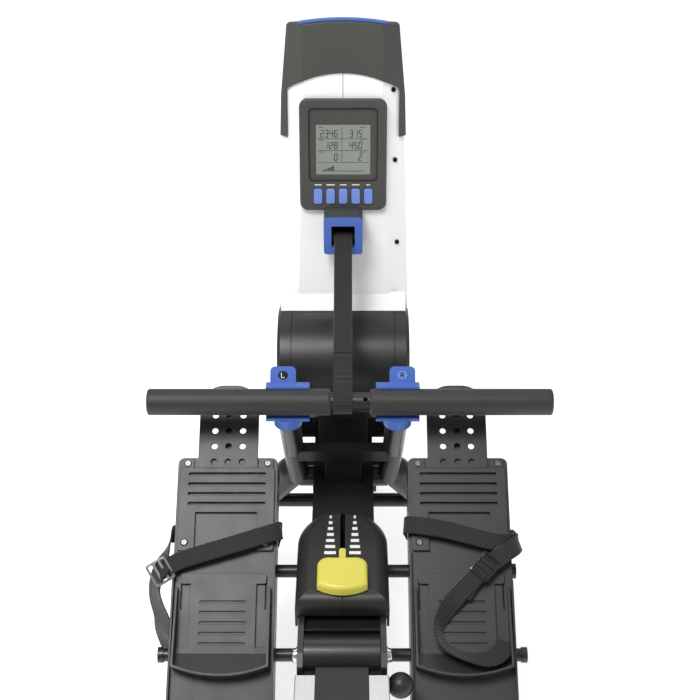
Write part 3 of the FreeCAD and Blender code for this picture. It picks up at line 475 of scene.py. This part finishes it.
def display_rim():
    """Dark rounded line around the console's inner window."""
    outer = rounded_outline(-45.4, 45.4, 43.1, 139.9, 6.5)
    inner = rounded_outline(-43.8, 43.8, 44.7, 138.3, 5.2)
    matrix = face_matrix()
    points = []
    for outline, height in ((outer, 7.45), (outer, 7.8), (inner, 7.8), (inner, 6.0)):
        points += [matrix @ Vector((x, y, height)) for x, y in outline]
    count = len(outer)
    faces = []
    for layer in range(3):
        for i in range(count):
            j = (i + 1) % count
            a = layer * count
            faces.append((a + i, a + j, a + count + j, a + count + i))
    add_mesh("display_rim", points, faces, "black_buckle", "frame")


# ---------------------------------------------------------------- webbing

def smooth_path(knots, steps=10):
    """Points of a smooth line through knots of (position, normal)."""
    line = []
    count = len(knots)
    for index in range(count - 1):
        before = knots[max(index - 1, 0)]
        start = knots[index]
        end = knots[index + 1]
        after = knots[min(index + 2, count - 1)]
        for step in range(steps):
            t = step / steps
            line.append(tuple(catmull(before[k], start[k], end[k], after[k], t)
                              for k in (0, 1)))
    line.append(knots[-1])
    return line


def catmull(before, start, end, after, t):
    """Catmull-Rom point between start and end."""
    return 0.5 * (2 * start + (end - before) * t
                  + (2 * before - 5 * start + 4 * end - after) * t * t
                  + (3 * start - before - 3 * end + after) * t * t * t)


def ribbon(name, knots, width, thick, look, body, matrix):
    """Flat webbing along a smooth line, with slightly raised edges."""
    line = smooth_path(knots)
    profile = [(-0.5, 0.0), (-0.46, 0.5), (-0.38, 0.42), (0.0, 0.36), (0.38, 0.42),
               (0.46, 0.5), (0.5, 0.0), (0.46, -0.5), (0.0, -0.42), (-0.46, -0.5)]
    points = []
    for index, (place, normal) in enumerate(line):
        ahead = line[min(index + 1, len(line) - 1)][0]
        behind = line[max(index - 1, 0)][0]
        along = (ahead - behind).normalized()
        across = along.cross(normal).normalized()
        up = across.cross(along).normalized()
        for x, y in profile:
            points.append(matrix @ (place + across * (x * width) + up * (y * thick)))
    size = len(profile)
    faces = [tuple(reversed(range(size)))]
    for ring in range(len(line) - 1):
        for i in range(size):
            j = (i + 1) % size
            faces.append((ring * size + i, ring * size + j,
                          (ring + 1) * size + j, (ring + 1) * size + i))
    last = (len(line) - 1) * size
    faces.append(tuple(last + i for i in range(size)))
    piece = add_mesh(name, points, faces, look, body, smooth=True)
    return piece


def knot(x, y, z, nx, ny, nz):
    """One place and surface direction on a strap's line."""
    return Vector((x, y, z)), Vector((nx, ny, nz)).normalized()


def buckle(name, matrix, look, width=30.0, height=27.0):
    """Ladder buckle: rounded frame with two cross bars, each slightly raised."""
    outer = rounded_outline(-width / 2, width / 2, -height / 2, height / 2, 3.5, 4)
    inner = rounded_outline(-width / 2 + 3, width / 2 - 3, -height / 2 + 3,
                            height / 2 - 3, 1.6, 4)
    points = []
    for outline, level in ((outer, -1.6), (outer, 1.0), (inner, 1.9), (inner, -1.6)):
        points += [matrix @ Vector((x, y, level)) for x, y in outline]
    count = len(outer)
    faces = []
    for layer in range(4):
        for i in range(count):
            j = (i + 1) % count
            a = layer * count
            b = ((layer + 1) % 4) * count
            faces.append((a + i, a + j, b + j, b + i))
    bars = [rounded_outline(-width / 2 + 1.5, width / 2 - 1.5, y - 1.7, y + 1.7, 1.2, 3)
            for y in (-3.4, 4.6)]
    bar_points, bar_faces = prism_mesh(bars, -0.6, 2.4, matrix)
    shift = len(points)
    points += bar_points
    faces += [tuple(shift + corner for corner in face) for face in bar_faces]
    piece = add_mesh(name, points, faces, look, "frame")
    bevel = piece.modifiers.new("edge", "BEVEL")
    bevel.width = 0.0005
    bevel.segments = 2
    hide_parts("strap_buckles")


def pedal_ribbon(name, knots, matrix):
    """One run of a pedal strap, which stands in for the plain CAD strap."""
    piece = ribbon(name, knots, STRAP_WIDE, STRAP_THICK, "webbing", "frame", matrix)
    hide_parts("pedal_straps")


def left_pedal_strap():
    """Left strap: over the pad to a grey buckle, with a hanging tail."""
    matrix = pedal_matrix(-1)
    over = [knot(64, -98, -26, 1, 0, 0), knot(66.5, -96, -10, 1, 0, 0.1),
            knot(69, -94, 3, 1, 0.1, 0.7), knot(60, -98, 11, 0.2, 0, 1),
            knot(20, -111, 13, 0, 0.02, 1), knot(-20, -123, 12, -0.03, 0.02, 1),
            knot(-50, -132, 11, -0.1, 0, 1), knot(-66, -140, 10, -0.2, 0, 1),
            knot(-78, -148, 8, -0.3, 0, 1)]
    back = [knot(-64.2, -92, -24, -1, 0, 0), knot(-66.5, -97, -8, -1, 0, 0.1),
            knot(-70, -112, -2, -1, 0, 0.4), knot(-75, -130, 3, -0.7, 0, 0.8),
            knot(-78, -146, 4.6, -0.4, 0, 1)]
    tail = [knot(-71, -139, 13, -0.3, 0.1, 1), knot(-79, -150, 10.5, -0.5, 0, 1),
            knot(-84, -163, -4, -0.7, -0.5, 0.5), knot(-84, -176, -26, -0.5, -0.8, 0.4),
            knot(-81, -190, -58, -0.3, -0.9, 0.45), knot(-84, -203, -88, -0.5, -0.8, 0.4),
            knot(-78, -216, -112, -0.2, -0.9, 0.5), knot(-75, -228, -132, -0.3, -0.9, 0.5)]
    pedal_ribbon("strap_left_over", over, matrix)
    pedal_ribbon("strap_left_back", back, matrix)
    pedal_ribbon("strap_left_tail", tail, matrix)
    place = matrix @ Matrix.Translation((-76, -147, 11)) @ Matrix.Rotation(
        math.radians(-58), 4, "Z") @ Matrix.Rotation(math.radians(8), 4, "Y")
    buckle("buckle_left", place, "grey_buckle")


def right_pedal_strap():
    """Right strap: over the pad, round the outer side, through a black buckle to a curl."""
    matrix = pedal_matrix(1)
    over = [knot(-64.2, -88, -26, -1, 0, 0), knot(-66.5, -88, -10, -1, 0, 0.1),
            knot(-68, -88, 4, -1, 0.1, 0.7), knot(-58, -89, 11, -0.2, 0, 1),
            knot(-20, -95, 13, 0, 0.02, 1), knot(15, -104, 13, 0, 0.02, 1),
            knot(42, -110, 11, 0.1, 0, 1), knot(60, -110, 7, 0.4, 0, 1),
            knot(72, -108, 0, 0.9, 0, 0.5)]
    outer = [knot(64.4, -98, -24, 1, 0, 0), knot(67, -101, -10, 1, 0, 0.1),
             knot(72, -108, 2, 0.9, 0, 0.6), knot(64, -117, 11, 0.3, 0, 1),
             knot(48, -128, 14, 0, 0, 1), knot(28, -142, 13.5, 0, 0, 1),
             knot(12, -158, 12, 0, 0, 1), knot(0, -176, 11, 0, 0, 1)]
    curl = [knot(30, -140, 16.5, 0, 0, 1), knot(14, -156, 14.5, 0, 0, 1),
            knot(-4, -174, 13.5, 0.1, 0, 1), knot(-20, -194, 12, 0.45, -0.1, 0.9),
            knot(-30, -216, 13, 0.85, 0, 0.6), knot(-22, -236, 15, 0.6, 0.6, 0.6),
            knot(0, -248, 19, 0.1, 0.8, 0.6), knot(26, -252, 22, -0.1, 0.5, 0.9),
            knot(42, -244, 18, 0, 0.1, 1), knot(48, -230, 13, 0, 0, 1)]
    pedal_ribbon("strap_right_over", over, matrix)
    pedal_ribbon("strap_right_outer", outer, matrix)
    pedal_ribbon("strap_right_curl", curl, matrix)
    place = matrix @ Matrix.Translation((28, -142, 16.5)) @ Matrix.Rotation(
        math.radians(-42), 4, "Z")
    buckle("buckle_right", place, "black_buckle", 27, 31)


def pull_strap():
    """Pull strap from the reel's outlet to the handle."""
    run = STRAP_END - STRAP_START
    along = run.normalized()
    up = Vector((0, -along.z, along.y))
    steps = 24
    knots = []
    for step in range(steps + 1):
        share = step / steps
        sag = -0.0016 * math.sin(math.pi * share)
        knots.append((STRAP_START + along * (0.062 + share * (run.length - 0.064))
                      + up * (sag + 0.0012), up))
    strap = ribbon("pull_webbing", knots, 0.0235, 0.0017, "pull_webbing", None,
                   Matrix.Identity(4))
    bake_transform(strap)
    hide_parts("pull_strap")


def stitch_rows():
    """Rows of stitches across the sewn end of the pull strap."""
    along = (STRAP_END - STRAP_START).normalized()
    up = Vector((0, -along.z, along.y))
    points = []
    faces = []
    for distance in (0.020, 0.028, 0.036, 0.058, 0.066):
        for step in range(9):
            x = -0.0096 + 0.0024 * step
            centre = STRAP_START + along * distance + up * 0.0013
            start = len(points)
            for dx, dy, dz in ((-1, -1, 0), (1, -1, 0), (1, 1, 0), (-1, 1, 0), (0, 0, 1)):
                points.append(centre + Vector((x + dx * 0.0008, 0, 0))
                              + along * (dy * 0.0004) + up * (dz * 0.0004))
            faces += [(start, start + 1, start + 4), (start + 1, start + 2, start + 4),
                      (start + 2, start + 3, start + 4), (start + 3, start, start + 4),
                      (start + 3, start + 2, start + 1, start)]
    add_mesh("strap_stitches", points, faces, "thread", "handle")


# ---------------------------------------------------------------- printed marks

def scale_marks():
    """Two columns of white bars on the control housing that grow towards the rower."""
    bars = []
    for row in range(7):
        y = 468.0 - 11.0 * row
        half = 1.3 + 0.95 * row
        for side in (-1, 1):
            bars.append([(side * 15 - half, y - 2.6), (side * 15 + half, y - 2.6),
                         (side * 15 + half, y + 2.6), (side * 15 - half, y + 2.6)])
    points, faces = prism_mesh(bars, 322.12, 322.45, Matrix.Scale(0.001, 4))
    add_mesh("scale_marks", points, faces, "white_ink", "frame")


def side_letters():
    """Small oval marks with plain L and R strokes on the cradle tabs."""
    letters = {
        -1: [((-2, 3), (-2, -3)), ((-2, -3), (2, -3))],
        1: [((-2, 3), (-2, -3)), ((-2, 3), (1.6, 3)), ((1.6, 3), (1.6, 0.2)),
            ((-2, 0.2), (1.6, 0.2)), ((-0.4, 0.2), (2, -3))],
    }
    for side, strokes in letters.items():
        place = (TAB_POINT.x * side, TAB_POINT.y, TAB_POINT.z)
        matrix = (Matrix.Translation(place) @ Matrix.Rotation(TAB_TURN, 4, "X")
                  @ Matrix.Scale(0.001, 4) @ Matrix.Translation((0, 13, 0)))
        oval = [(6.2 * math.cos(a), 5.4 * math.sin(a))
                for a in (math.tau * step / 28 for step in range(28))]
        points, faces = prism_mesh([oval], 2.5, 2.7, matrix)
        word = "left" if side < 0 else "right"
        disc = add_mesh("mark_disc_" + word, points, faces,
                        "black_buckle" if side < 0 else "keys", "frame")
        bars = [bar_outline(a[0], a[1], b[0], b[1], 1.1) for a, b in strokes]
        points, faces = prism_mesh(bars, 2.7, 2.9, matrix)
        mark = add_mesh("mark_letter_" + word, points, faces,
                        "white_ink" if side < 0 else "black_buckle", "frame")


# ---------------------------------------------------------------- seat

def copy_of(node, name):
    """Separate mesh with a CAD node's shape."""
    piece = bpy.data.objects.new(name, NODES[node].data.copy())
    bpy.context.scene.collection.objects.link(piece)
    return piece


def apply_modifiers(piece):
    """Bake every modifier into the mesh."""
    graph = bpy.context.evaluated_depsgraph_get()
    mesh = bpy.data.meshes.new_from_object(piece.evaluated_get(graph))
    piece.modifiers.clear()
    piece.data = mesh


def seat_pad():
    """Cushion swollen by cloth simulation, flat where it rests on the carriage."""
    low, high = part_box("seat_cushion")
    middle = (Vector(low) + Vector(high)) / 2
    pad = copy_of("seat_cushion", "seat_pad")
    for vertex in pad.data.vertices:
        offset = vertex.co - middle
        vertex.co = middle + Vector(offset[k] * PAD_SHRINK[k] for k in range(3))
        vertex.co.z += low[2] - (middle.z - (middle.z - low[2]) * PAD_SHRINK[2]) + 0.0015
    remesh = pad.modifiers.new("remesh", "REMESH")
    remesh.mode = "VOXEL"
    remesh.voxel_size = PAD_VOXEL
    apply_modifiers(pad)
    swell(pad, low[2])
    for face in pad.data.polygons:
        face.use_smooth = True
    smooth = pad.modifiers.new("smooth", "SUBSURF")
    smooth.levels = 1
    smooth.render_levels = 1
    apply_modifiers(pad)
    hold_inside(pad, Vector(low), Vector(high))
    dress(pad, "vinyl")
    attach(pad, "seat")
    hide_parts("seat_cushion")
    seat_seam(pad, low, high)


def swell(pad, floor):
    """Blow the pad up a little as cloth and keep the move under a cap."""
    start = [vertex.co.copy() for vertex in pad.data.vertices]
    cloth = pad.modifiers.new("cloth", "CLOTH")
    cloth.settings.use_pressure = True
    cloth.settings.uniform_pressure_force = SWELL_PRESSURE
    cloth.settings.effector_weights.gravity = 0.0
    cloth.point_cache.frame_start = 1
    cloth.point_cache.frame_end = SWELL_FRAMES
    for number in range(1, SWELL_FRAMES + 1):
        bpy.context.scene.frame_set(number)
    apply_modifiers(pad)
    bpy.context.scene.frame_set(1)
    for vertex, origin in zip(pad.data.vertices, start):
        move = vertex.co - origin
        if move.length > SWELL_CAP:
            move = move.normalized() * SWELL_CAP
        vertex.co = origin + move
        vertex.co.z = max(vertex.co.z, floor + 0.0012)


def hold_inside(pad, low, high):
    """Keep the pad within its CAD solid's box."""
    for vertex in pad.data.vertices:
        vertex.co = Vector(min(max(vertex.co[k], low[k] + 0.0005), high[k] - 0.0002)
                           for k in range(3))


def seat_seam(pad, low, high):
    """Piping round the seat's sides at half their height, laid on the pad itself."""
    height = low[2] + (high[2] - low[2]) * 0.50
    tree = bpy.context.evaluated_depsgraph_get()
    tree.update()
    centre = Vector(((low[0] + high[0]) / 2, (low[1] + high[1]) / 2, height))
    knots = []
    steps = 96
    for step in range(steps):
        angle = math.tau * step / steps
        way = Vector((math.cos(angle), math.sin(angle), 0))
        far = centre + way * 0.4
        found = pad.ray_cast(far, -way)
        if found[0]:
            knots.append(found[1])
    curve = bpy.data.curves.new("seat_piping", "CURVE")
    curve.dimensions = "3D"
    curve.bevel_depth = 0.0021
    curve.bevel_resolution = 3
    spline = curve.splines.new("POLY")
    spline.points.add(len(knots) - 1)
    for point, place in zip(spline.points, knots):
        point.co = (place.x, place.y, place.z, 1.0)
    spline.use_cyclic_u = True
    piece = bpy.data.objects.new("seat_piping", curve)
    bpy.context.scene.collection.objects.link(piece)
    dress(piece, "rubber")
    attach(piece, "seat")


# ---------------------------------------------------------------- stage

def floor():
    """Plain pale floor that glows a little, with a very soft texture."""
    recipe = Recipe("pale_floor")
    drift = recipe.noise(1.2, 2.0)
    tone = recipe.ramp(drift, 0.3, 0.7, (0.93, 0.93, 0.93, 1), (0.96, 0.96, 0.96, 1))
    recipe.link(tone, recipe.shader.inputs["Base Color"])
    recipe.shader.inputs["Roughness"].default_value = 0.8
    recipe.shader.inputs["Emission Color"].default_value = (1, 1, 1, 1)
    recipe.shader.inputs["Emission Strength"].default_value = 0.62
    LOOKS["floor"] = recipe.material
    points = [(-14, -14, 0), (14, -14, 0), (14, 14, 0), (-14, 14, 0)]
    piece = add_mesh("floor", points, [(0, 1, 2, 3)], "floor", None)


def area_light(name, place, target, size, power):
    """Square soft light aimed at a point."""
    data = bpy.data.lights.new(name, "AREA")
    data.shape = "RECTANGLE"
    data.size = size[0]
    data.size_y = size[1]
    data.energy = power
    light = bpy.data.objects.new(name, data)
    light.location = place
    light.rotation_euler = (Vector(target) - Vector(place)).to_track_quat("-Z", "Y").to_euler()
    bpy.context.scene.collection.objects.link(light)


def lights():
    """Soft light up and to the left, weak ones to the right and ahead, and a pale room."""
    area_light("key", (-0.72, -0.45, 2.9), (-0.2, 0.3, 0.3), (1.1, 1.1), 62)
    area_light("fill", (2.6, -1.2, 2.2), (0.0, 0.4, 0.3), (1.4, 1.4), 5)
    area_light("top", (0.1, 2.2, 3.2), (0.0, 0.6, 0.4), (2.4, 1.2), 16)
    world = bpy.data.worlds.new("room")
    world.use_nodes = True
    world.node_tree.nodes["Background"].inputs["Color"].default_value = (1, 1, 1, 1)
    world.node_tree.nodes["Background"].inputs["Strength"].default_value = 0.36
    bpy.context.scene.world = world


def plain_colours():
    """Show colours as they are, so that the white surround comes out white."""
    bpy.context.scene.view_settings.view_transform = "Standard"


def camera():
    """Camera above and behind the rower's seat, looking down at the console."""
    data = bpy.data.cameras.new("camera")
    data.lens = CAMERA_LENS
    data.sensor_width = 36.0
    shot = bpy.data.objects.new("camera", data)
    shot.location = CAMERA_POINT
    shot.rotation_euler = (math.radians(CAMERA_TILT), 0.0, 0.0)
    bpy.context.scene.collection.objects.link(shot)
    bpy.context.scene.camera = shot


dress_nodes()
console_print()
display_rim()
left_pedal_strap()
right_pedal_strap()
pull_strap()
stitch_rows()
scale_marks()
side_letters()
seat_pad()
floor()
lights()
plain_colours()
camera()
